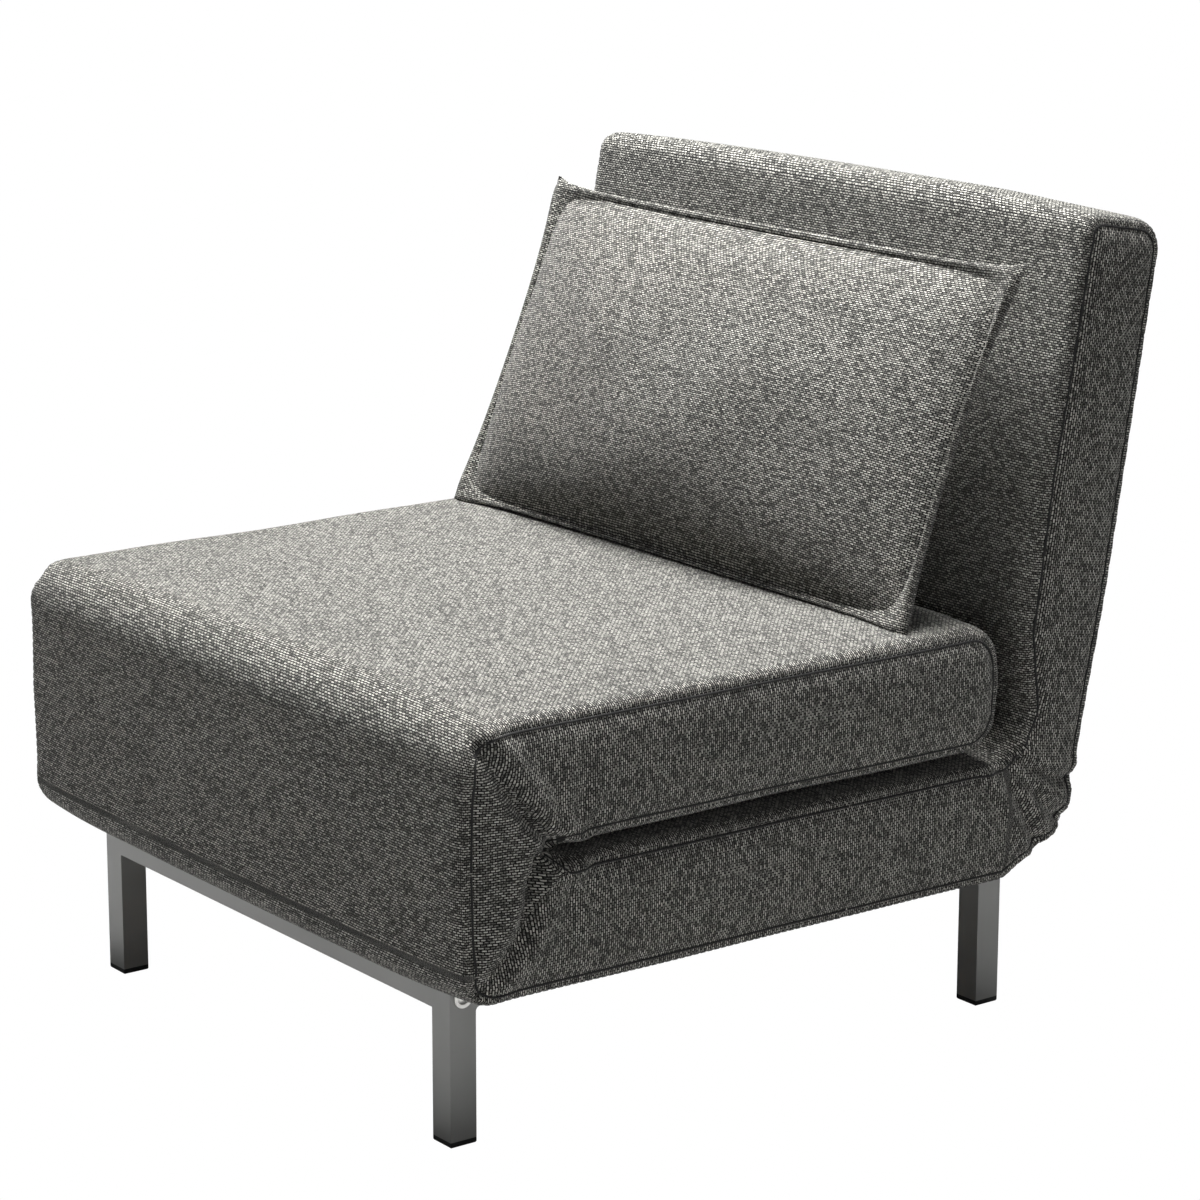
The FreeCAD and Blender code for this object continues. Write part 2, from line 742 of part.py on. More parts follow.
link_room = fold_nose + link_width
fork_low = box(slot_in, slot_out, fold_y - 60, fold_y + 40, 0, fold_low_z + link_room)
fork_high = box(slot_in, slot_out, fold_y - 60, fold_y + 22, fold_high_z - link_room, fold_high_z + 34)
link_slot = box(link_x - link_thickness / 2 - running_gap, link_x + link_thickness / 2 + running_gap,
                fold_y - link_width / 2 - running_gap, fold_y + link_width / 2 + running_gap,
                fold_low_z, fold_high_z)
hinge_slot = box(hinge_low, hinge_high, back_y - leaf_radius - slot_margin, back_y + back_nose + 20,
                 0, back_z + back_nose + 20)
seat_room_ends = (fold_y + 14, seat_rear - seat_frame_back + room)
strap_low = fold_high_z - seat_tube / 2 - strap_thickness - 2 * room
frame_space = box(-fork_out - room, fork_out + room, *seat_room_ends, fold_high_z - seat_tube / 2 - room,
                  fold_high_z + seat_tube / 2 + room)
foam_island = box(-fork_in + room, fork_in - room, fold_y + 14 + 2 + seat_tube + room,
                  seat_rear - seat_frame_back - seat_tube - room, 0, 1000)
seat_room = [
    frame_space.cut(foam_island),
    box(-fork_out - room, fork_out + room, *seat_room_ends, strap_low, fold_high_z - seat_tube / 2),
]
arm_room = [
    rod_x(back_nose + 25, hinge_low, hinge_high, 0, 0),
    box(arm_x - 1, cup_end_x + 1, -arm_width / 2 - 1, arm_width / 2 + 1, 0, arm_length + arm_width / 2 + 1),
]
tube_reach = back_tube_x + back_tube / 2 + room
tube_low, tube_high = back_tube_start - room, back_frame_top + back_tube / 2 + room
tube_space = box(-tube_reach, tube_reach, -back_tube / 2 - room, back_tube / 2 + room, tube_low, tube_high)
back_island = box(-tube_reach + back_tube + 2 * room, tube_reach - back_tube - 2 * room, -50, 50,
                  arm_length + 3 * back_tube, tube_high - back_tube_bend)
back_room = [
    tube_space.cut(back_island),
    box(-tube_reach, tube_reach, -back_tube / 2 - strap_thickness - 2 * room, -back_tube / 2,
        tube_low, tube_high),
]

base_hollows = pair(fork_low) + pair(hinge_slot)
seat_hollows = pair(fork_high) + [stand_pocket()]
back_slots = pair(arm_room[0])

# Write every piece
save("side_frame_right", [side_frame()])
save("side_frame_left", [mirrored(side_frame())])
save("front_rail", [cross_rail(front_leg_y)])
save("rear_rail", [cross_rail(rear_leg_y - tube)])
save("rail_inserts", rail_inserts())
bolts, washers = bolts_and_washers()
save("frame_bolts", bolts)
save("frame_washers", washers)
save("foot_caps", foot_caps())
slats, holders = deck()
save("deck_slats", slats)
save("slat_holders", holders)
stay_rod, stay_saddles = stay()
save("stay_rod", stay_rod)
save("stay_saddles", stay_saddles)
save("fold_brackets", fold_brackets())
save("lower_link_pins", link_pins(fold_low_z))
save("upper_link_pins", link_pins(fold_high_z))
link_right, link_left = link_bars()
save("link_bar_right", [link_right])
save("link_bar_left", [link_left])

cover, foam = cover_and_foam(base_outline, base_mid, base_half, {"cover": base_hollows, "foam": base_hollows})
save("base_cover", [cover])
save("base_foam", [foam])
cover, foam = cover_and_foam(fold_outline, fold_mid, fold_half,
                             {"cover": pair(link_slot), "foam": pair(link_slot)})
save("fold_cover", [cover])
save("fold_foam", [foam])
cover, foam = cover_and_foam(seat_outline, seat_mid, seat_half,
                             {"cover": seat_hollows, "foam": seat_hollows + seat_room})
save("seat_cover", [cover])
save("seat_foam", [foam])
save("seat_frame", [seat_frame()])
save("seat_straps", seat_straps())
rod, feet, pins = stand()
save("stand_rod", [rod])
save("stand_feet", feet)
save("stand_pins", pins)

save("hinge_leaf_right", [hinge_leaf()])
save("hinge_leaf_left", [mirrored(hinge_leaf())])
save("hinge_pins", pair(hinge_pin_solid()))
save("hinge_arm_right", leaned([hinge_arm()]))
save("hinge_arm_left", leaned([mirrored(hinge_arm())]))
save("detent_balls", leaned(pair(detent_ball_solid())))
save("back_frame", leaned([back_frame_solid()]))
save("back_straps", leaned(back_straps()))
cover, foam = cover_and_foam(back_outline, back_mid, back_half,
                             {"cover": back_slots, "foam": pair(arm_room[0]) + pair(arm_room[1]) + back_room})
save("back_cover", leaned([cover]))
save("back_foam", leaned([foam.cut(cover)]))

outer, inner = pillow_solid(0), pillow_solid(pillow_cover_thickness)
save("pillow_cover", [outer.cut(inner)])
save("pillow_filling", [pillow_solid(pillow_cover_thickness + foam_clearance)])
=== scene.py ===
import json
import math

import bpy
import numpy as np
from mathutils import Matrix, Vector, noise
from mathutils.bvhtree import BVHTree


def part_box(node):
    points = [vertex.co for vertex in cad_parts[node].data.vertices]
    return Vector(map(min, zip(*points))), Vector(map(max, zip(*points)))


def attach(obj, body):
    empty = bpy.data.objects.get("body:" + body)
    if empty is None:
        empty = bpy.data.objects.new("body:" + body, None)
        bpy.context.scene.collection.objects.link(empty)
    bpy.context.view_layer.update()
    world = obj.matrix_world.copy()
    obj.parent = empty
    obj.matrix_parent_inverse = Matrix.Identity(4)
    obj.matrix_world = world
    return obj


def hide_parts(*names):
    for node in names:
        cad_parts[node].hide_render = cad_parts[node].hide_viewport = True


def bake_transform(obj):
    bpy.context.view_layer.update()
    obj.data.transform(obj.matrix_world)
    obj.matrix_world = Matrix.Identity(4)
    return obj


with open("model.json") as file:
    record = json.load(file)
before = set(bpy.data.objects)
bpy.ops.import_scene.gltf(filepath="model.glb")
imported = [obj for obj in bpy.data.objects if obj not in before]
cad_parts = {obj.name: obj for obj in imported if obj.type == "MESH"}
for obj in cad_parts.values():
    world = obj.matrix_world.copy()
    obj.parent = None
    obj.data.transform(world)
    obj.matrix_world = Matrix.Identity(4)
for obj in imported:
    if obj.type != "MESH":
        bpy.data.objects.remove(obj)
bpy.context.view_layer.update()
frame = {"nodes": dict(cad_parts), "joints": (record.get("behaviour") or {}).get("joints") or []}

mm = 0.001

# where the CAD puts things, in metres; the chair faces -Y
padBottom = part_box("base_cover")[0][2] + 0.5 * mm
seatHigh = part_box("seat_cover")[1]
seatRear = seatHigh[1]
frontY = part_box("fold_cover")[0][1]
pillowLow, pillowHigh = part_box("pillow_cover")
joints = {joint["name"]: joint for joint in frame["joints"]}
foldPivot = Vector(joints["mattress_fold"]["pos_m"])
turnPivot = Vector(joints["seat_turn"]["pos_m"])
backPivot = Vector(joints["back_recline"]["pos_m"])
splitZ = (foldPivot.z + turnPivot.z) / 2      # level between the seat section and the base section


def hexToLinear(text):      # sRGB hex to the linear colour that the shaders want
    parts = [int(text[i:i + 2], 16) / 255 for i in (0, 2, 4)]
    linear = [p / 12.92 if p <= 0.04045 else ((p + 0.055) / 1.055) ** 2.4 for p in parts]
    return (*linear, 1.0)


# Adds one node. A setting goes to the input of that name or number, or else to the node itself.
# Links map its inputs to other nodes' outputs.
def addNode(tree, kind, settings=None, links=None):
    node = tree.nodes.new(kind)
    for name, value in (settings or {}).items():
        if isinstance(name, int) or name in node.inputs.keys():
            node.inputs[name].default_value = value
        else:
            setattr(node, name, value)
    for name, source in (links or {}).items():
        tree.links.new(source, node.inputs[name])
    return node


def newMaterial(name):
    material = bpy.data.materials.new(name)
    material.use_nodes = True
    tree = material.node_tree
    tree.nodes.clear()
    shader = tree.nodes.new("ShaderNodeBsdfPrincipled")
    output = tree.nodes.new("ShaderNodeOutputMaterial")
    tree.links.new(shader.outputs[0], output.inputs[0])
    return material, tree, shader


def rampStops(ramp, stops):
    band = ramp.color_ramp
    while len(band.elements) < len(stops):
        band.elements.new(0.5)
    for element, (position, colour) in zip(band.elements, stops):
        element.position = position
        element.color = hexToLinear(colour)


# Coarse melange basket weave: light flecks of weft, about 5 mm long, over near-black warp.
# Brick rows give the floats, and noise stretched along the yarn gives the melange within them.
weave = {
    "fleck": 5.2 * mm,
    "row": 2.5 * mm,
    "gap": 1.25 * mm,
    "softEdge": 0.25,
    "wander": 0.7 * mm,             # how far the yarn strays from its row
    "wandersPerMetre": 150.0,
    "fibresPerMetre": 330.0,
    "fibreStretch": 3.6,
    "fibreRange": (0.2, 0.8),
    "floatVariation": 0.14,
    "tones": [(0.40, "0c0c0b"), (0.50, "3c3c39"), (0.68, "c2c0b8")],
    "gapColour": "0c0c0b",
    "bump": 1.0,
    "yarnHeight": 1.1 * mm,
    "fibreHeight": 0.5,             # share of the yarn's height
    "roughness": 0.95,
    "specular": 0.15,
    "sheen": 0.08,
    "sheenRoughness": 0.5,
}


def wovenFabric(name, settings):
    material, tree, shader = newMaterial(name)
    uv = addNode(tree, "ShaderNodeUVMap", {"uv_map": "weave"})

    # floats in staggered rows, a little out of line
    stray = addNode(tree, "ShaderNodeTexNoise", {
        "Scale": settings["wandersPerMetre"], "Detail": 1.0}, {"Vector": uv.outputs[0]})
    centred = addNode(tree, "ShaderNodeVectorMath", {
        "operation": "SUBTRACT", 1: (0.5, 0.5, 0.5)}, {0: stray.outputs["Color"]})
    small = addNode(tree, "ShaderNodeVectorMath", {
        "operation": "SCALE", "Scale": settings["wander"]}, {0: centred.outputs[0]})
    bent = addNode(tree, "ShaderNodeVectorMath", {
        "operation": "ADD"}, {0: uv.outputs[0], 1: small.outputs[0]})
    yarn = addNode(tree, "ShaderNodeTexBrick", {
        "offset": 0.5, "offset_frequency": 2, "squash": 1.0,
        "Color1": (0.0, 0.0, 0.0, 1.0), "Color2": (1.0, 1.0, 1.0, 1.0),
        "Mortar": (0.0, 0.0, 0.0, 1.0), "Scale": 1.0, "Mortar Size": settings["gap"] / 2,
        "Mortar Smooth": settings["softEdge"], "Bias": 0.0,
        "Brick Width": settings["fleck"], "Row Height": settings["row"],
    }, {"Vector": bent.outputs[0]})

    # how light each float is: its own random value and the fibres in it
    along = addNode(tree, "ShaderNodeMapping", {
        "Scale": (1.0, settings["fibreStretch"], 1.0)}, {"Vector": uv.outputs[0]})
    fibre = addNode(tree, "ShaderNodeTexNoise", {
        "Scale": settings["fibresPerMetre"], "Detail": 4.0, "Roughness": 0.65,
    }, {"Vector": along.outputs[0]})
    calm = addNode(tree, "ShaderNodeMapRange", {
        "To Min": settings["fibreRange"][0], "To Max": settings["fibreRange"][1],
    }, {"Value": fibre.outputs["Fac"]})
    tone = addNode(tree, "ShaderNodeMath", {
        "operation": "MULTIPLY_ADD", 1: settings["floatVariation"],
    }, {0: yarn.outputs["Color"], 2: calm.outputs[0]})
    ramp = addNode(tree, "ShaderNodeValToRGB", None, {"Fac": tone.outputs[0]})
    rampStops(ramp, settings["tones"])

    # dark between the yarns, which stand up from there
    thread = addNode(tree, "ShaderNodeMath", {
        "operation": "SUBTRACT", 0: 1.0}, {1: yarn.outputs["Fac"]})
    shaded = addNode(tree, "ShaderNodeMix", {
        "data_type": "RGBA", 6: hexToLinear(settings["gapColour"]),
    }, {0: thread.outputs[0], 7: ramp.outputs[0]})
    tree.links.new(shaded.outputs[2], shader.inputs["Base Color"])
    height = addNode(tree, "ShaderNodeMath", {
        "operation": "MULTIPLY_ADD", 1: settings["fibreHeight"],
    }, {0: fibre.outputs["Fac"], 2: thread.outputs[0]})
    bump = addNode(tree, "ShaderNodeBump", {
        "Strength": settings["bump"], "Distance": settings["yarnHeight"],
    }, {"Height": height.outputs[0]})
    tree.links.new(bump.outputs[0], shader.inputs["Normal"])
    shader.inputs["Roughness"].default_value = settings["roughness"]
    shader.inputs["Specular IOR Level"].default_value = settings["specular"]
    shader.inputs["Sheen Weight"].default_value = settings["sheen"]
    shader.inputs["Sheen Roughness"].default_value = settings["sheenRoughness"]
    return material


# Satin powder coat on tube: fine orange peel, and slow drifts of shade from the metallic pigment
powder = {
    "peel": 0.9 * mm,
    "driftsPerMetre": 14.0,
    "roughnessSpread": (-0.05, 0.07),
    "bump": 0.12,
    "peelHeight": 0.2 * mm,
    "metallic": 0.35,
}


def powderCoat(name, colours, roughness):
    material, tree, shader = newMaterial(name)
    place = addNode(tree, "ShaderNodeTexCoord")
    peel = addNode(tree, "ShaderNodeTexNoise", {
        "Scale": 1 / powder["peel"], "Detail": 3.0}, {"Vector": place.outputs["Object"]})
    drift = addNode(tree, "ShaderNodeTexNoise", {
        "Scale": powder["driftsPerMetre"], "Detail": 2.0}, {"Vector": place.outputs["Object"]})
    tint = addNode(tree, "ShaderNodeMix", {
        "data_type": "RGBA", 6: hexToLinear(colours[0]), 7: hexToLinear(colours[1]),
    }, {0: drift.outputs["Fac"]})
    tree.links.new(tint.outputs[2], shader.inputs["Base Color"])
    rough = addNode(tree, "ShaderNodeMapRange", {
        "To Min": roughness + powder["roughnessSpread"][0],
        "To Max": roughness + powder["roughnessSpread"][1],
    }, {"Value": peel.outputs["Fac"]})
    tree.links.new(rough.outputs[0], shader.inputs["Roughness"])
    bump = addNode(tree, "ShaderNodeBump", {
        "Strength": powder["bump"], "Distance": powder["peelHeight"],
    }, {"Height": peel.outputs["Fac"]})
    tree.links.new(bump.outputs[0], shader.inputs["Normal"])
    shader.inputs["Metallic"].default_value = powder["metallic"]
    return material


# Zinc-plated turned steel: bright, with fine scratches that break up the reflections
steel = {"colour": "c9c8c4", "roughness": 0.28, "spread": (-0.06, 0.12), "scratchesPerMetre": 900.0}


def turnedSteel(name, settings):
    material, tree, shader = newMaterial(name)
    place = addNode(tree, "ShaderNodeTexCoord")
    scratch = addNode(tree, "ShaderNodeTexNoise", {
        "Scale": settings["scratchesPerMetre"], "Detail": 4.0,
    }, {"Vector": place.outputs["Object"]})
    rough = addNode(tree, "ShaderNodeMapRange", {
        "To Min": settings["roughness"] + settings["spread"][0],
        "To Max": settings["roughness"] + settings["spread"][1],
    }, {"Value": scratch.outputs["Fac"]})
    tree.links.new(rough.outputs[0], shader.inputs["Roughness"])
    shader.inputs["Base Color"].default_value = hexToLinear(settings["colour"])
    shader.inputs["Metallic"].default_value = 1.0
    return material


# Moulded or extruded plastic: one dull colour with the fine grain of its tool
plastic = {"grainsPerMetre": 1400.0, "bump": 0.15, "grainHeight": 0.1 * mm, "ior": 1.5}


def mouldedPlastic(name, colour, roughness):
    material, tree, shader = newMaterial(name)
    place = addNode(tree, "ShaderNodeTexCoord")
    grain = addNode(tree, "ShaderNodeTexNoise", {
        "Scale": plastic["grainsPerMetre"], "Detail": 2.0}, {"Vector": place.outputs["Object"]})
    bump = addNode(tree, "ShaderNodeBump", {
        "Strength": plastic["bump"], "Distance": plastic["grainHeight"],
    }, {"Height": grain.outputs["Fac"]})
    tree.links.new(bump.outputs[0], shader.inputs["Normal"])
    shader.inputs["Base Color"].default_value = hexToLinear(colour)
    shader.inputs["Roughness"].default_value = roughness
    shader.inputs["IOR"].default_value = plastic["ior"]
    return material


# Sealed beech plywood: pale, with the grain running along each slat
beech = {
    "grain": (4.0, 60.0, 200.0),
    "grainScale": 2.0,
    "tones": [(0.3, "c79f6b"), (0.7, "dcbb8a")],
    "roughness": 0.5,
}


def beechPly(name, settings):
    material, tree, shader = newMaterial(name)
    place = addNode(tree, "ShaderNodeTexCoord")
    stretch = addNode(tree, "ShaderNodeMapping", {
        "Scale": settings["grain"]}, {"Vector": place.outputs["Object"]})
    grain = addNode(tree, "ShaderNodeTexNoise", {
        "Scale": settings["grainScale"], "Detail": 6.0}, {"Vector": stretch.outputs[0]})
    ramp = addNode(tree, "ShaderNodeValToRGB", None, {"Fac": grain.outputs["Fac"]})
    rampStops(ramp, settings["tones"])
    tree.links.new(ramp.outputs[0], shader.inputs["Base Color"])
    shader.inputs["Roughness"].default_value = settings["roughness"]
    return material


fabric = wovenFabric("wovenMelangeBasket", weave)
seamThread = mouldedPlastic("blackPolyesterThread", "0b0b0b", 0.8)
framePaint = powderCoat("satinSilverPowderCoat", ("8b8b89", "7c7c7a"), 0.42)
blackEnamel = powderCoat("blackStoveEnamel", ("151515", "1c1c1c"), 0.45)
zincSteel = turnedSteel("zincPlatedSteel", steel)
footPlastic = mouldedPlastic("blackPolypropylene", "0e0e0e", 0.42)
slatWood = beechPly("sealedBeechPly", beech)
webTape = mouldedPlastic("elasticWebbing", "1d1d1d", 0.85)
print("materials made")

# the rigid parts keep their CAD shapes and get these finishes
nodeFinish = {
    framePaint: ["side_frame_left", "side_frame_right", "front_rail", "rear_rail"],
    zincSteel: ["rail_inserts", "frame_bolts", "frame_washers", "fold_brackets",
                "lower_link_pins", "upper_link_pins", "link_bar_left", "link_bar_right",
                "stand_pins", "hinge_leaf_left", "hinge_leaf_right", "hinge_pins",
                "hinge_arm_left", "hinge_arm_right", "detent_balls"],
    blackEnamel: ["seat_frame", "back_frame", "stand_rod", "stay_rod"],
    footPlastic: ["foot_caps", "slat_holders", "stay_saddles", "stand_feet"],
    slatWood: ["deck_slats"],
    webTape: ["seat_straps", "back_straps"],
}
for finish, names in nodeFinish.items():
    for name in names:
        node = frame["nodes"][name]
        node.data.materials.clear()
        node.data.materials.append(finish)


def deselect():
    if bpy.context.object and bpy.context.object.mode != "OBJECT":
        bpy.ops.object.mode_set(mode="OBJECT")
    bpy.ops.object.select_all(action="DESELECT")


def makeActive(piece):
    deselect()
    piece.select_set(True)
    bpy.context.view_layer.objects.active = piece


def points(piece):
    flat = np.empty(len(piece.data.vertices) * 3)
    piece.data.vertices.foreach_get("co", flat)
    return flat.reshape(-1, 3)


def setPoints(piece, places):
    piece.data.vertices.foreach_set("co", np.ascontiguousarray(places).ravel())
    piece.data.update()


def readRows(items, value):      # a three-number value of each vertex or face, one row each
    flat = np.empty(len(items) * 3)
    items.foreach_get(value, flat)
    return flat.reshape(-1, 3)


# (y, z, radius) corners to a closed list of (y, z) points with round corners
def roundedOutline(corners, step=6 * mm):
    outline = []
    count = len(corners)
    for index in range(count):
        here = Vector(corners[index][:2])
        before = Vector(corners[index - 1][:2])
        after = Vector(corners[(index + 1) % count][:2])
        radius = corners[index][2]
        inward, outward = (before - here).normalized(), (after - here).normalized()
        middle = (inward + outward).normalized()
        if radius < 1e-6 or middle.length < 1e-6:      # a sharp or a straight corner
            outline.append(here)
            continue
        angle = math.acos(max(-1.0, min(1.0, inward.dot(outward))))
        reach = radius / math.tan(angle / 2)
        centre = here + middle * (radius / math.sin(angle / 2))
        start = here + inward * reach - centre
        stop = here + outward * reach - centre
        sweep = math.pi - angle
        if start.x * stop.y < start.y * stop.x:
            sweep = -sweep
        turns = max(2, int(round(radius * abs(sweep) / step)))
        for turn in range(turns + 1):
            theta = sweep * turn / turns
            c, s = math.cos(theta), math.sin(theta)
            outline.append(centre + Vector((start.x * c - start.y * s, start.x * s + start.y * c)))
    return [(p.x, p.y) for p in outline]


def arcPoints(centre, radius, start, stop, step=8):      # sharp corners along an arc, in degrees
    count = max(2, int(abs(stop - start) / step))
    angles = [math.radians(start + (stop - start) * i / count) for i in range(count + 1)]
    return [(centre[0] + radius * math.cos(angle), centre[1] + radius * math.sin(angle), 0)
            for angle in angles]


# A filled circle is pushed out to the side outline and extruded across the chair.
# Then the rims of its two sides are bevelled.
def extrudedPad(name, outline, settings):
    halfX = settings["halfX"]
    deselect()
    bpy.ops.mesh.primitive_circle_add(vertices=len(outline), radius=0.1, fill_type="NGON")
    piece = bpy.context.object
    piece.name = name
    setPoints(piece, np.array([(-halfX, y, z) for y, z in outline]))
    bpy.ops.object.mode_set(mode="EDIT")
    bpy.ops.mesh.select_all(action="SELECT")
    bpy.ops.mesh.extrude_region_move(TRANSFORM_OT_translate={"value": (2 * halfX, 0, 0)})
    bpy.ops.mesh.select_all(action="SELECT")
    bpy.ops.mesh.normals_make_consistent(inside=False)
    bpy.ops.object.mode_set(mode="OBJECT")
    mesh = piece.data
    for edge in mesh.edges:
        ends = [mesh.vertices[i].co.x for i in edge.vertices]
        edge.select = abs(ends[0] - ends[1]) < 1e-6
    for face in mesh.polygons:
        face.select = False
    bpy.ops.object.mode_set(mode="EDIT")
    bpy.ops.mesh.select_mode(type="EDGE")
    bpy.ops.mesh.bevel(offset=settings["rimBevel"], segments=settings["rimSegments"], profile=0.5)
    bpy.ops.object.mode_set(mode="OBJECT")
    return piece


def remesh(piece, voxel):
    makeActive(piece)
    modifier = piece.modifiers.new("Remesh", "REMESH")
    modifier.mode = "VOXEL"
    modifier.voxel_size = voxel
    modifier.use_smooth_shade = True
    bpy.ops.object.modifier_apply(modifier=modifier.name)


# The mattress is one stuffed length of fabric, which the side view shows folded:
# base below, seat above, back behind. Its places come from the CAD, its softness from the photo.
mattress = {
    "halfX": seatHigh[0] - 3 * mm,
    "rimBevel": 11 * mm,
    "rimSegments": 4,
    "voxel": 5.8 * mm,
    "slotHalf": 7.5 * mm,           # half the gap between seat and base
    "pinchIn": 0.117,               # from the front to where the gore is pinched in
    "seatRise": 0.028,              # top of the seat above the pivot of its turn
    "frontTopRound": 0.044,
    "frontLowRound": 0.034,
    "seatRearRound": 0.040,
    "noseRadius": 0.060,            # fold of the cover round the backrest hinge
    "backLean": math.radians(10),
    "tuck": 0.02,                   # how far each blank runs on past the level it is cut at
    "splitY": 0.030,                # cut between base and back, under the seat
    "sideStart": 0.016,             # the side panels' forms fade in from here to the rim
    "sideBlend": 0.014,
    "swell": 6.5 * mm,
    "swellRun": 0.09,
    "sideSwell": 6 * mm,
    "sideSwellRun": 0.022,
    "slotFade": 0.012,
    "lump": 2.2 * mm,
    "lumpsPerMetre": 5.5,
    "smoothAngle": math.radians(50),
}
pinchY = frontY + mattress["pinchIn"]
backUp = Vector((math.sin(mattress["backLean"]), math.cos(mattress["backLean"])))
backOut = Vector((backUp.y, -backUp.x))
baseTop = splitZ - mattress["slotHalf"]
seatUnder = splitZ + mattress["slotHalf"]
seatTop = turnPivot.z + mattress["seatRise"]


def fromBack(out, up):      # (y, z) of a point given behind and along the backrest, from its hinge
    return tuple(Vector((backPivot.y, backPivot.z)) + backOut * out + backUp * up)


# corners of the side outline, each as y, z and the radius that rounds it
rearNose = arcPoints((backPivot.y, backPivot.z), mattress["noseRadius"], -72, -18)
lowCorners = [
    (frontY + 0.003, padBottom, mattress["frontLowRound"]),
    (backPivot.y - 0.033, padBottom, 0.02),
    *rearNose,
    (*fromBack(0.062, 0.045), 0.0),          # rear of the backrest
    (*fromBack(0.064, 0.30), 0.4),
    (*fromBack(0.062, 0.594), 0.034),        # its top
    (*fromBack(-0.046, 0.594), 0.020),
    (*fromBack(-0.049, 0.33), 0.5),          # its front
    (*fromBack(-0.044, 0.165), 0.05),
    (*fromBack(-0.018, 0.085), 0.02),
    (*fromBack(-0.030, 0.055), 0.006),
    (backPivot.y - 0.040, baseTop, 0.014),   # top of the base, hidden by the seat
    (pinchY, baseTop, 0.0),
]
slotEnd = (pinchY - mattress["slotHalf"], splitZ, 0.0)
seatTopCorners = [
    (pinchY, seatUnder, 0.0),
    (seatRear, seatUnder, mattress["seatRearRound"]),
    (seatRear + 0.006, (seatTop + seatUnder) / 2 + 0.01, 0.15),
    (seatRear - 0.004, seatTop + 0.001, mattress["seatRearRound"]),
    (frontY + 0.003, seatTop, mattress["frontTopRound"]),
]
frontBelly = (frontY - 0.001, splitZ, 0.3)
outline = roundedOutline([*lowCorners, slotEnd, *seatTopCorners, frontBelly])
closedOutline = outline + outline[:1]
print("outline points", len(outline))

# seat and base are modelled apart, so that remeshing can't close the narrow slot between them
tuckDown, tuckUp = splitZ - mattress["tuck"], splitZ + mattress["tuck"]
seatCorners = [(slotEnd[0], tuckDown, 0.0), slotEnd, *seatTopCorners, frontBelly,
               (frontBelly[0], tuckDown, 0.0)]
lowBlankCorners = [*lowCorners, slotEnd, (slotEnd[0], tuckUp, 0.0), (frontBelly[0], tuckUp, 0.0),
                   frontBelly]

# Seams, the gore's two folds and the pleats of the rear corner, as (y, z) on the side panels
pinch = (pinchY, splitZ)
goreTop = [pinch, (-0.349, 0.334), (-0.364, 0.349), (-0.385, 0.378), (-0.421, 0.431)]
goreLow = [pinch, (-0.349, 0.307), (-0.364, 0.255), (-0.374, 0.230), (-0.412, 0.190)]
rearPleats = [
    [(0.246, 0.300), (0.270, 0.283), (0.302, 0.268), (0.334, 0.262)],
    [(0.236, 0.294), (0.262, 0.268), (0.290, 0.240), (0.318, 0.222)],
    [(0.226, 0.290), (0.246, 0.262), (0.266, 0.228), (0.284, 0.200)],
]
foldForm = {"depth": 14 * mm, "width": 7.5 * mm, "fadesOver": 0.16,
            "bulge": 4.5 * mm, "bulgeAt": 20 * mm, "bulgeWidth": 11 * mm}
pleatForm = {"depth": 6 * mm, "width": 6 * mm, "fadesOver": math.inf,
             "bulge": 3.5 * mm, "bulgeAt": 15 * mm, "bulgeWidth": 9 * mm}
sideForms = {
    "creases": [(goreTop, foldForm), (goreLow, foldForm),
                *((line, pleatForm) for line in rearPleats)],
    "seamInset": 11 * mm,
    "seamDepth": 2.6 * mm,
    "seamWidth": 5 * mm,
    "pucker": 1.6 * mm,             # small folds that fan out of the pinch
    "puckers": 11,
    "puckerAt": 0.045,
    "puckerWidth": 0.032,
    "goreHalf": 0.135,              # half height of the gore at the front
    "mapReach": 0.03,               # the side panel's weave ends this far in from the side
    "leanFrom": 0.24,               # behind this the side panel's weave leans with the back
}


def lineDistance(spots, line):      # (distance, length along) of (n, 2) points from a polyline
    best = np.full(len(spots), 1e9)
    along = np.zeros(len(spots))
    travelled = 0.0
    for start, stop in zip(line[:-1], line[1:]):
        start, stop = np.array(start), np.array(stop)
        step = stop - start
        size = np.linalg.norm(step)
        share = np.clip(((spots - start) @ step) / size ** 2, 0, 1)
        gap = np.linalg.norm(spots - start - share[:, None] * step, axis=1)
        closer = gap < best
        best[closer] = gap[closer]
        along[closer] = travelled + share[closer] * size
        travelled += size
    return best, along


def gauss(distance, width):
    return np.exp(-(distance / width) ** 2)


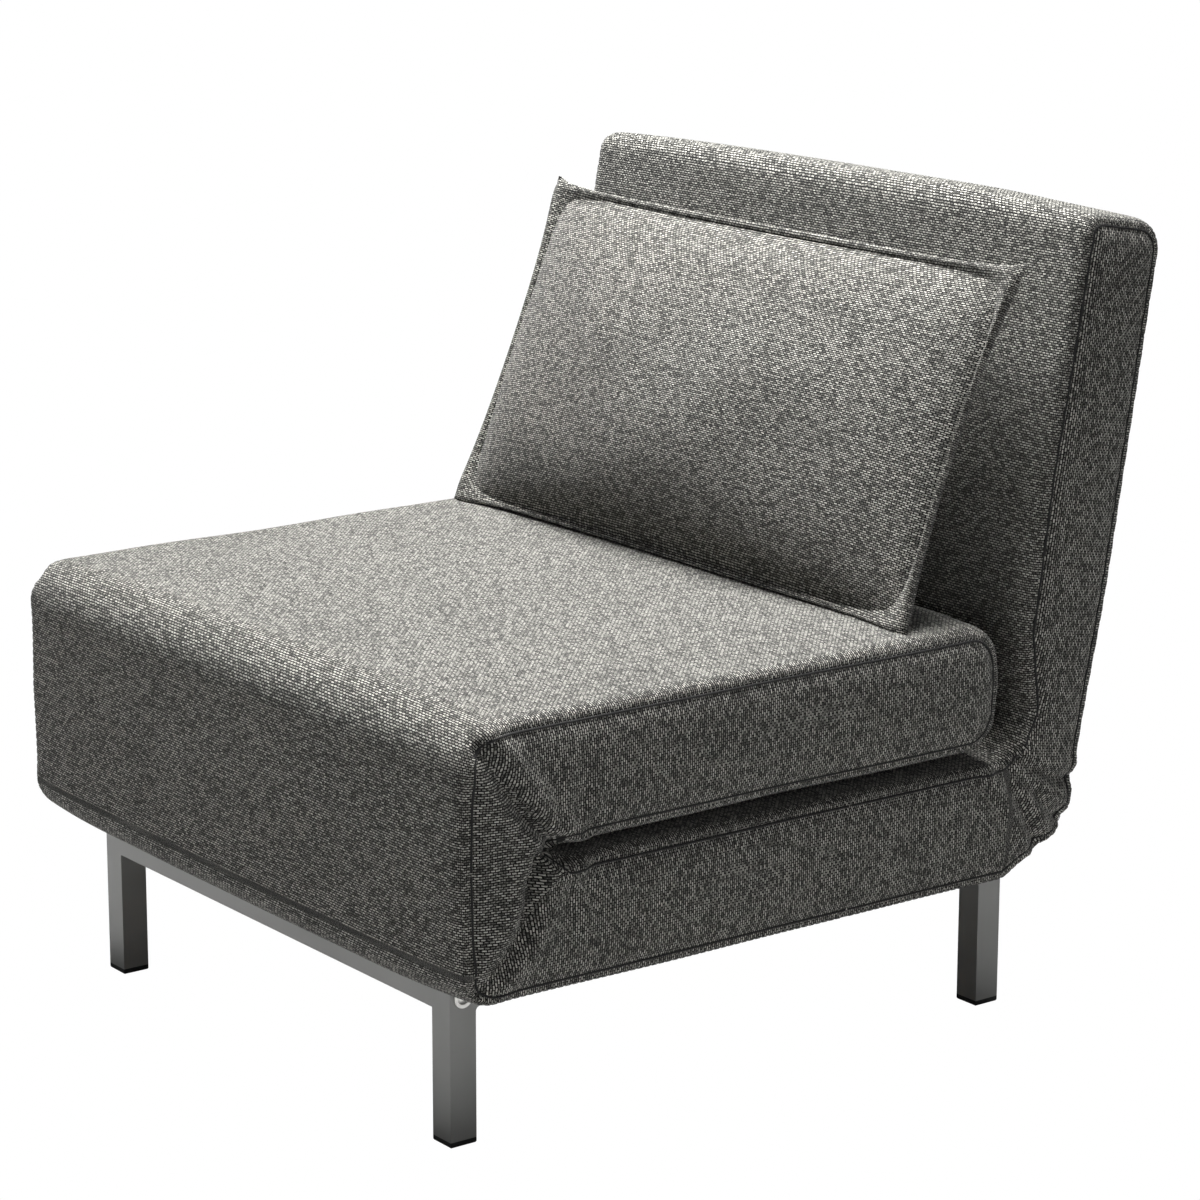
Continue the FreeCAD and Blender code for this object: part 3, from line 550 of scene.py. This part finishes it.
# Presses seams, folds and pleats into the side panels and swells the foam between the seams.
# Gives what the fabric's map needs: each point's way to and along the outline, and its sideness.
def pressForms(slab):
    spots = points(slab)
    flat = spots[:, 1:]
    normals = readRows(slab.data.vertices, "normal")
    halfX = mattress["halfX"]
    edgeGap, edgeAlong = lineDistance(flat, closedOutline)
    sideStart = halfX - mattress["sideStart"]
    sideness = np.clip((np.abs(spots[:, 0]) - sideStart) / mattress["sideBlend"], 0, 1)

    seamGap = np.abs(edgeGap - sideForms["seamInset"])
    sink = sideForms["seamDepth"] * gauss(seamGap, sideForms["seamWidth"])
    for line, form in sideForms["creases"]:
        gap, along = lineDistance(flat, line)
        fade = np.clip(1.25 - along / form["fadesOver"], 0.25, 1)      # never below a quarter
        sink += form["depth"] * gauss(gap, form["width"]) * fade
        sink -= form["bulge"] * gauss(gap - form["bulgeAt"], form["bulgeWidth"])
    fromPinch = flat - np.array(pinch)
    radius = np.linalg.norm(fromPinch, axis=1)
    angle = np.arctan2(fromPinch[:, 1], fromPinch[:, 0])
    fan = gauss(radius - sideForms["puckerAt"], sideForms["puckerWidth"])
    sink += sideForms["pucker"] * np.sin(angle * sideForms["puckers"]) * fan
    spots[:, 0] -= np.sign(spots[:, 0]) * sink * sideness

    # most in the middle of a panel, nothing at its edge or in the slot, and slightly uneven
    wave = np.array([noise.noise(Vector(p) * mattress["lumpsPerMetre"]) for p in spots])
    fromRim = np.clip(halfX - np.abs(spots[:, 0]), 0, None)
    fromSeam = np.clip(edgeGap - sideForms["seamInset"], 0, None)
    topSwell = mattress["swell"] * (1 - np.exp(-fromRim / mattress["swellRun"]))
    sideSwell = mattress["sideSwell"] * (1 - np.exp(-fromSeam / mattress["sideSwellRun"]))
    inSlot = (spots[:, 1] > pinchY - mattress["slotFade"]) & (spots[:, 1] < seatRear)
    slotPart = gauss(spots[:, 2] - splitZ, mattress["slotFade"]) * inSlot * (1 - sideness)
    swell = (topSwell * (1 - sideness) + sideSwell * sideness) * (1 - slotPart)
    spots += normals * (wave * mattress["lump"] + swell)[:, None]
    setPoints(slab, spots)
    return edgeGap, edgeAlong, sideness


# Lays the fabric across and along the main panels, upright on the sides, level on the gore
def mapFabric(slab, edgeGap, edgeAlong, sideness):
    mesh = slab.data
    spots = points(slab)
    uvLayer = mesh.uv_layers.new(name="weave")
    mesh.uv_layers.active = uvLayer
    centres = readRows(mesh.polygons, "center")
    faceGap, _ = lineDistance(centres[:, 1:], closedOutline)
    nearSide = np.abs(centres[:, 0]) > mattress["halfX"] - sideForms["mapReach"]
    isSide = (faceGap > sideForms["seamInset"]) & nearSide
    narrowing = 1 - np.abs(centres[:, 2] - splitZ) / sideForms["goreHalf"]
    isGore = (centres[:, 1] - frontY) < mattress["pinchIn"] * narrowing

    corners = np.empty(len(mesh.loops), dtype=int)
    mesh.loops.foreach_get("vertex_index", corners)
    cornerCounts = np.empty(len(mesh.polygons), dtype=int)
    mesh.polygons.foreach_get("loop_total", cornerCounts)
    cornerFaces = np.repeat(np.arange(len(mesh.polygons)), cornerCounts)
    spots, sideness = spots[corners], sideness[corners]
    x, y, z = spots.T
    rolled = x + np.sign(x) * edgeGap[corners] * sideness      # goes on round the rim unstretched
    uv = np.column_stack([rolled, edgeAlong[corners]])
    side = isSide[cornerFaces]
    uv[side] = np.column_stack([z, y])[side]
    gore = side & isGore[cornerFaces]
    uv[gore] = np.column_stack([y, z])[gore]
    lean = side & (y > sideForms["leanFrom"])
    fromHinge = spots[:, 1:] - np.array([backPivot.y, backPivot.z])
    uv[lean] = np.column_stack([fromHinge @ np.array(backUp), fromHinge @ np.array(backOut)])[lean]
    uvLayer.data.foreach_set("uv", uv.ravel())


# One length of the mattress with both of its sides, as a fine even mesh, sewn and covered
def stuffedBlank(name, corners):
    blank = extrudedPad(name, roundedOutline(corners), mattress)
    remesh(blank, mattress["voxel"])
    mapFabric(blank, *pressForms(blank))
    blank.data.materials.append(fabric)
    print(name, len(blank.data.vertices), "points, dressed")
    return blank


# Copy of the piece with only what lies on the normal's side of a plane, closed by a flat face
def cutOff(piece, name, point, normal):
    makeActive(piece)
    bpy.ops.object.duplicate()
    part = bpy.context.object
    part.name = name
    bpy.ops.object.mode_set(mode="EDIT")
    bpy.ops.mesh.select_all(action="SELECT")
    bpy.ops.mesh.bisect(plane_co=point, plane_no=normal, clear_inner=True, use_fill=True)
    bpy.ops.object.mode_set(mode="OBJECT")
    return part


seatBlank = stuffedBlank("seatBlank", seatCorners)
lowBlank = stuffedBlank("lowBlank", lowBlankCorners)
cutPoint = (0, mattress["splitY"], splitZ)
seatPiece = cutOff(seatBlank, "seatMattress", cutPoint, (0, 0, 1))
frontLow = cutOff(lowBlank, "frontLow", cutPoint, (0, -1, 0))
basePiece = cutOff(frontLow, "baseMattress", cutPoint, (0, 0, -1))
backPiece = cutOff(lowBlank, "backMattress", cutPoint, (0, 1, 0))
for blank in (seatBlank, lowBlank, frontLow):
    bpy.data.objects.remove(blank, do_unlink=True)
for piece in (seatPiece, basePiece, backPiece):
    makeActive(piece)
    bpy.ops.object.shade_smooth_by_angle(angle=mattress["smoothAngle"])
    print(piece.name, len(piece.data.vertices), "points")


# Loose pillow: two sheets sewn together inside a flat welt and blown up as cloth, so that
# the edges draw in between four pointed ears and small folds run in from the seam.
pillow = {
    "width": 0.790,
    "height": 0.398,
    "welt": 11 * mm,
    "weltHalf": 1.6 * mm,
    "thickness": 0.152,
    "drawIn": (0.022, 0.050),       # of the sides and of top and bottom, at their middle
    "lump": 0.10,
    "lumpScale": (2.3, 1.5, 3.0),
    "crownAllowance": 0.02,         # fabric that the crown takes up
    "lean": math.radians(22.6),
    "cells": (120, 62),
    "pressure": 4.0,
    "reach": 0.013,                 # no point moves further than this
    "frames": 20,
    "clothQuality": 4,
    "clothMass": 0.3,
    "stretchStiffness": 12,
    "shearStiffness": 6,
    "bendingStiffness": 1.2,
}


def sewnSheets(name, settings):
    deselect()
    across, up = settings["cells"]
    bpy.ops.mesh.primitive_grid_add(x_subdivisions=across, y_subdivisions=up, size=2)
    front = bpy.context.object
    front.name = name
    front.data.materials.append(fabric)
    front.data.uv_layers[0].name = "weave"
    bpy.ops.object.duplicate()
    rear = bpy.context.object
    bpy.ops.object.mode_set(mode="EDIT")
    bpy.ops.mesh.select_all(action="SELECT")
    bpy.ops.mesh.flip_normals()
    bpy.ops.object.mode_set(mode="OBJECT")

    u, v, _ = points(front).T
    halfWide, halfHigh = settings["width"] / 2, settings["height"] / 2
    inU = np.clip(np.abs(u) / (1 - settings["welt"] / halfWide), 0, 1)
    inV = np.clip(np.abs(v) / (1 - settings["welt"] / halfHigh), 0, 1)
    fullness = ((1 - inU ** 2) * (1 - inV ** 2)) ** 0.5
    offRim = (np.abs(u) <= 0.9999) & (np.abs(v) <= 0.9999)
    sideDraw, topDraw = settings["drawIn"]
    x = halfWide * u * (1 - sideDraw * (1 - v ** 2))
    z = halfHigh * v * (1 - topDraw * (1 - u ** 2))
    uv = np.column_stack([u * halfWide, v * (halfHigh + settings["crownAllowance"])])
    lumpU, lumpV, lumpDepth = settings["lumpScale"]
    for part, sign in ((front, -1), (rear, 1)):
        lumps = np.array([noise.noise(Vector((a * lumpU, b * lumpV, lumpDepth * sign)))
                          for a, b in zip(u, v)])
        crown = settings["thickness"] / 2 * fullness * (1 + settings["lump"] * lumps)
        depth = crown + settings["weltHalf"] * offRim
        setPoints(part, np.column_stack([x, sign * depth, z]))
        corners = np.empty(len(part.data.loops), dtype=int)
        part.data.loops.foreach_get("vertex_index", corners)
        part.data.uv_layers[0].data.foreach_set("uv", uv[corners].ravel())

    makeActive(front)
    rear.select_set(True)
    bpy.ops.object.join()
    bpy.ops.object.mode_set(mode="EDIT")
    bpy.ops.mesh.select_all(action="SELECT")
    bpy.ops.mesh.remove_doubles(threshold=0.2 * mm)
    bpy.ops.mesh.normals_make_consistent(inside=False)
    bpy.ops.object.mode_set(mode="OBJECT")
    return bpy.context.object


# Blows the closed shape up like a stuffed cover, weightless, and limits how far any point moves
def inflate(piece, settings):
    before = points(piece)
    makeActive(piece)
    modifier = piece.modifiers.new("Cloth", "CLOTH")
    cloth = modifier.settings
    cloth.quality = settings["clothQuality"]
    cloth.mass = settings["clothMass"]
    cloth.tension_stiffness = settings["stretchStiffness"]
    cloth.compression_stiffness = settings["stretchStiffness"]
    cloth.shear_stiffness = settings["shearStiffness"]
    cloth.bending_stiffness = settings["bendingStiffness"]
    cloth.use_pressure = True
    cloth.uniform_pressure_force = settings["pressure"]
    cloth.effector_weights.gravity = 0
    modifier.collision_settings.use_collision = False
    for frameNumber in range(1, settings["frames"] + 1):
        bpy.context.scene.frame_set(frameNumber)
    bpy.ops.object.modifier_apply(modifier=modifier.name)
    bpy.context.scene.frame_set(1)
    move = points(piece) - before
    length = np.linalg.norm(move, axis=1, keepdims=True)
    reach = settings["reach"]
    setPoints(piece, before + move * (reach * np.tanh(length / reach) / np.maximum(length, 1e-9)))


# Turns the mesh about X, then moves it, so that the object stays at the origin
def place(piece, turn, middle):
    c, s = math.cos(turn), math.sin(turn)
    x, y, z = points(piece).T
    setPoints(piece, np.column_stack([x + middle.x, y * c - z * s + middle.y,
                                      y * s + z * c + middle.z]))


cushion = sewnSheets("loosePillow", pillow)
inflate(cushion, pillow)
print("pillow filled")
pillowMiddle = Vector((0, (pillowLow[1] + pillowHigh[1]) / 2, (pillowLow[2] + pillowHigh[2]) / 2))
place(cushion, -pillow["lean"], pillowMiddle)
makeActive(cushion)
bpy.ops.object.shade_smooth()
print("pillow made", len(cushion.data.vertices), "points")

# Seam cords and topstitching lie on the finished surfaces, found by casting onto them
seams = {
    "cordRadius": 1.3 * mm,
    "cordStep": 4 * mm,
    "cordJump": 12 * mm,            # a cord is broken off where the next point is further on
    "fewestPoints": 4,
    "threadRadius": 0.42 * mm,
    "stitch": 5.5 * mm,
    "stitchGap": 3.0 * mm,
    "stitchInset": 0.5 * mm,
    "stitchIn": 4.5 * mm,           # from the side of the mattress to the stitched edge
    "castFrom": 0.6,
    "castLength": 0.4,
    "search": 0.02,
    "lookAhead": 6 * mm,
    "deepest": 0.035,               # no seam lies further in from the side
    "seatEnd": seatRear + 0.014,    # middle of the gap between seat and backrest
}


def insetOutline(loop, depth):      # the outline drawn in by a depth, closed
    spots = np.array(loop)
    before, after = np.roll(spots, 1, axis=0), np.roll(spots, -1, axis=0)
    ahead = after - before
    ahead /= np.linalg.norm(ahead, axis=1, keepdims=True)
    area = np.sum(spots[:, 0] * after[:, 1] - after[:, 0] * spots[:, 1])
    inward = np.column_stack([-ahead[:, 1], ahead[:, 0]]) * (1 if area > 0 else -1)
    inset = spots + inward * depth
    return np.vstack([inset, inset[:1]])


def evenly(line, step):      # points along a line at equal steps
    sizes = np.linalg.norm(np.diff(line, axis=0), axis=1)
    total = np.concatenate([[0], np.cumsum(sizes)])
    wanted = np.arange(0, total[-1], step)
    return np.column_stack([np.interp(wanted, total, column) for column in line.T])


def tubeFrom(name, runs, thickness, finish):      # one mesh of thin tubes along lists of points
    path = bpy.data.curves.new(name, "CURVE")
    path.dimensions = "3D"
    path.bevel_depth = thickness
    path.bevel_resolution = 1
    path.use_fill_caps = True
    for run in runs:
        spline = path.splines.new("POLY")
        spline.points.add(len(run) - 1)
        spline.points.foreach_set("co", np.column_stack([run, np.ones(len(run))]).ravel())
    piece = bpy.data.objects.new(name, path)
    bpy.context.collection.objects.link(piece)
    makeActive(piece)
    bpy.ops.object.convert(target="MESH")
    piece = bpy.context.object
    piece.data.materials.clear()
    piece.data.materials.append(finish)
    bpy.ops.object.shade_smooth()
    return piece


def surfaceOf(piece):
    return BVHTree.FromPolygons([v.co for v in piece.data.vertices],
                                [f.vertices for f in piece.data.polygons])


def castSide(tree, y, z, sign):      # from well outside, straight in
    start = Vector((sign * seams["castFrom"], y, z))
    spot = tree.ray_cast(start, Vector((-sign, 0, 0)), seams["castLength"])[0]
    return spot if spot and abs(spot.x) > mattress["halfX"] - seams["deepest"] else None


def owner(y, z):      # the section of the mattress that a seam's point lies on
    if z > splitZ and y < seams["seatEnd"]:
        return seatPiece
    return basePiece if z <= splitZ and y < mattress["splitY"] else backPiece


def cordRuns(piece, tree):
    runs = []
    for sign in (-1, 1):
        run = []
        for y, z in cordLine:
            spot = castSide(tree, y, z, sign) if owner(y, z) is piece else None
            if spot is None or (run and (Vector(run[-1]) - spot).length > seams["cordJump"]):
                runs.append(run)
                run = []
            if spot is not None:
                run.append(tuple(spot))
        runs.append(run)
    return [run for run in runs if len(run) >= seams["fewestPoints"]]


def stitchRuns(piece, tree):
    stitches = []
    ahead = np.roll(stitchLine, -1, axis=0) - stitchLine
    ahead /= np.maximum(np.linalg.norm(ahead, axis=1, keepdims=True), 1e-9)
    for sign in (-1, 1):
        x = sign * (mattress["halfX"] - seams["stitchIn"])
        for (y, z), (dy, dz) in zip(stitchLine, ahead):
            beyond = owner(y + dy * seams["lookAhead"], z + dz * seams["lookAhead"])
            if owner(y, z) is not piece or beyond is not piece:
                continue
            lengths = [seams["stitch"] * share for share in (0, 0.5, 1)]
            near = [tree.find_nearest(Vector((x, y + dy * s, z + dz * s)), seams["search"])[0]
                    for s in lengths]
            if None not in near:
                stitches.append([tuple(spot) for spot in near])
    return stitches


cordLine = evenly(insetOutline(outline, sideForms["seamInset"]), seams["cordStep"])
stitchLine = evenly(insetOutline(outline, seams["stitchInset"]),
                    seams["stitch"] + seams["stitchGap"])
seamPieces = {}
for piece, name in ((seatPiece, "seatSeams"), (basePiece, "baseSeams"), (backPiece, "backSeams")):
    tree = surfaceOf(piece)
    cord = tubeFrom(name, cordRuns(piece, tree), seams["cordRadius"], seamThread)
    stitching = tubeFrom(name + "Stitch", stitchRuns(piece, tree), seams["threadRadius"],
                         seamThread)
    makeActive(cord)
    stitching.select_set(True)
    bpy.ops.object.join()
    seamPieces[piece] = bpy.context.object
    print(name, len(seamPieces[piece].data.polygons), "faces")

# The cover bends at the pinch, its base half with the fold and its seat half with the seat's turn,
# and round the hinge of the backrest;
# here the mattress pieces and their seams only have their placing baked into their meshes, the
# pillow is attached to its body, and the CAD's covers and foams are hidden.
for piece in (basePiece, seamPieces[basePiece]):
    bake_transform(piece)
for piece in (seatPiece, seamPieces[seatPiece]):
    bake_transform(piece)
for piece in (backPiece, seamPieces[backPiece]):
    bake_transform(piece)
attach(cushion, "pillow")
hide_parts("seat_cover", "seat_foam")
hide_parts("base_cover", "base_foam", "fold_cover", "fold_foam")
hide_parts("back_cover", "back_foam")
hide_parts("pillow_cover", "pillow_filling")

# The photo's camera, worked out from the straight edges of the frame; angles in degrees
photoCamera = {
    "spot": (3.20439, -2.36532, 1.40806),
    "lookDown": 13.956,
    "roll": -0.113,
    "heading": 53.28,
    "lens": 116.97,
    "sensor": 36,
    "near": 0.05,
}
camera = bpy.data.objects.new("camera", bpy.data.cameras.new("camera"))
bpy.context.collection.objects.link(camera)
camera.location = photoCamera["spot"]
camera.rotation_euler = (math.radians(90 - photoCamera["lookDown"]),
                         math.radians(photoCamera["roll"]), math.radians(photoCamera["heading"]))
camera.data.lens = photoCamera["lens"]
camera.data.sensor_width = photoCamera["sensor"]
camera.data.clip_start = photoCamera["near"]
bpy.context.scene.camera = camera

# The photo's chair stands on pure white with hardly a shadow. The floor and the backdrop are
# white to the camera alone, and light the chair as a grey floor and a dim sky.
studio = {
    "floorSize": 60,
    "floorDrop": 1 * mm,
    "floorGrey": (0.35, 0.35, 0.35, 1),
    "floorRoughness": 0.9,
    "skyColour": (0.97, 0.98, 1.0, 1),
    "skyStrength": 0.14,
    "white": (1, 1, 1, 1),
    "lamps": [      # name, place, what it points at, width and height, watts
        ("topSoftbox", (-0.3, 0.1, 3.4), (0, 0, 0.4), (1.9, 1.6), 430),
        ("frontFill", (-1.2, -4.2, 1.5), (0, 0, 0.4), (2.4, 1.8), 16),
        ("rightFill", (4.2, 0.2, 1.5), (0.2, 0, 0.4), (1.8, 2.2), 24),
    ],
}
deselect()
bpy.ops.mesh.primitive_plane_add(size=studio["floorSize"], location=(0, 0, -studio["floorDrop"]))
floor = bpy.context.object
floor.name = "studioFloor"
floorFinish, floorTree, floorShader = newMaterial("whiteSweepPaint")
floorShader.inputs["Base Color"].default_value = studio["floorGrey"]
floorShader.inputs["Roughness"].default_value = studio["floorRoughness"]
shine = addNode(floorTree, "ShaderNodeEmission", {"Color": studio["white"], "Strength": 1.0})
seenBy = addNode(floorTree, "ShaderNodeLightPath")
mixed = addNode(floorTree, "ShaderNodeMixShader", None, {
    0: seenBy.outputs["Is Camera Ray"], 1: floorShader.outputs[0], 2: shine.outputs[0]})
floorOut = [item for item in floorTree.nodes if item.type == "OUTPUT_MATERIAL"][0]
floorTree.links.new(mixed.outputs[0], floorOut.inputs[0])
floor.data.materials.append(floorFinish)

world = bpy.data.worlds.new("studio")
bpy.context.scene.world = world
world.use_nodes = True
skyTree = world.node_tree
skyTree.nodes.clear()
skySeenBy = addNode(skyTree, "ShaderNodeLightPath")
softSky = addNode(skyTree, "ShaderNodeBackground", {
    "Color": studio["skyColour"], "Strength": studio["skyStrength"]})
whiteSky = addNode(skyTree, "ShaderNodeBackground", {"Color": studio["white"], "Strength": 1.0})
skyMixed = addNode(skyTree, "ShaderNodeMixShader", None, {
    0: skySeenBy.outputs["Is Camera Ray"], 1: softSky.outputs[0], 2: whiteSky.outputs[0]})
addNode(skyTree, "ShaderNodeOutputWorld", None, {0: skyMixed.outputs[0]})

for name, spot, target, size, power in studio["lamps"]:
    lamp = bpy.data.objects.new(name, bpy.data.lights.new(name, "AREA"))
    bpy.context.collection.objects.link(lamp)
    lamp.location = spot
    lamp.rotation_euler = (Vector(target) - Vector(spot)).to_track_quat("-Z", "Y").to_euler()
    lamp.data.shape = "RECTANGLE"
    lamp.data.size, lamp.data.size_y = size
    lamp.data.energy = power
bpy.context.scene.view_settings.view_transform = "Standard"
print("studio set up")
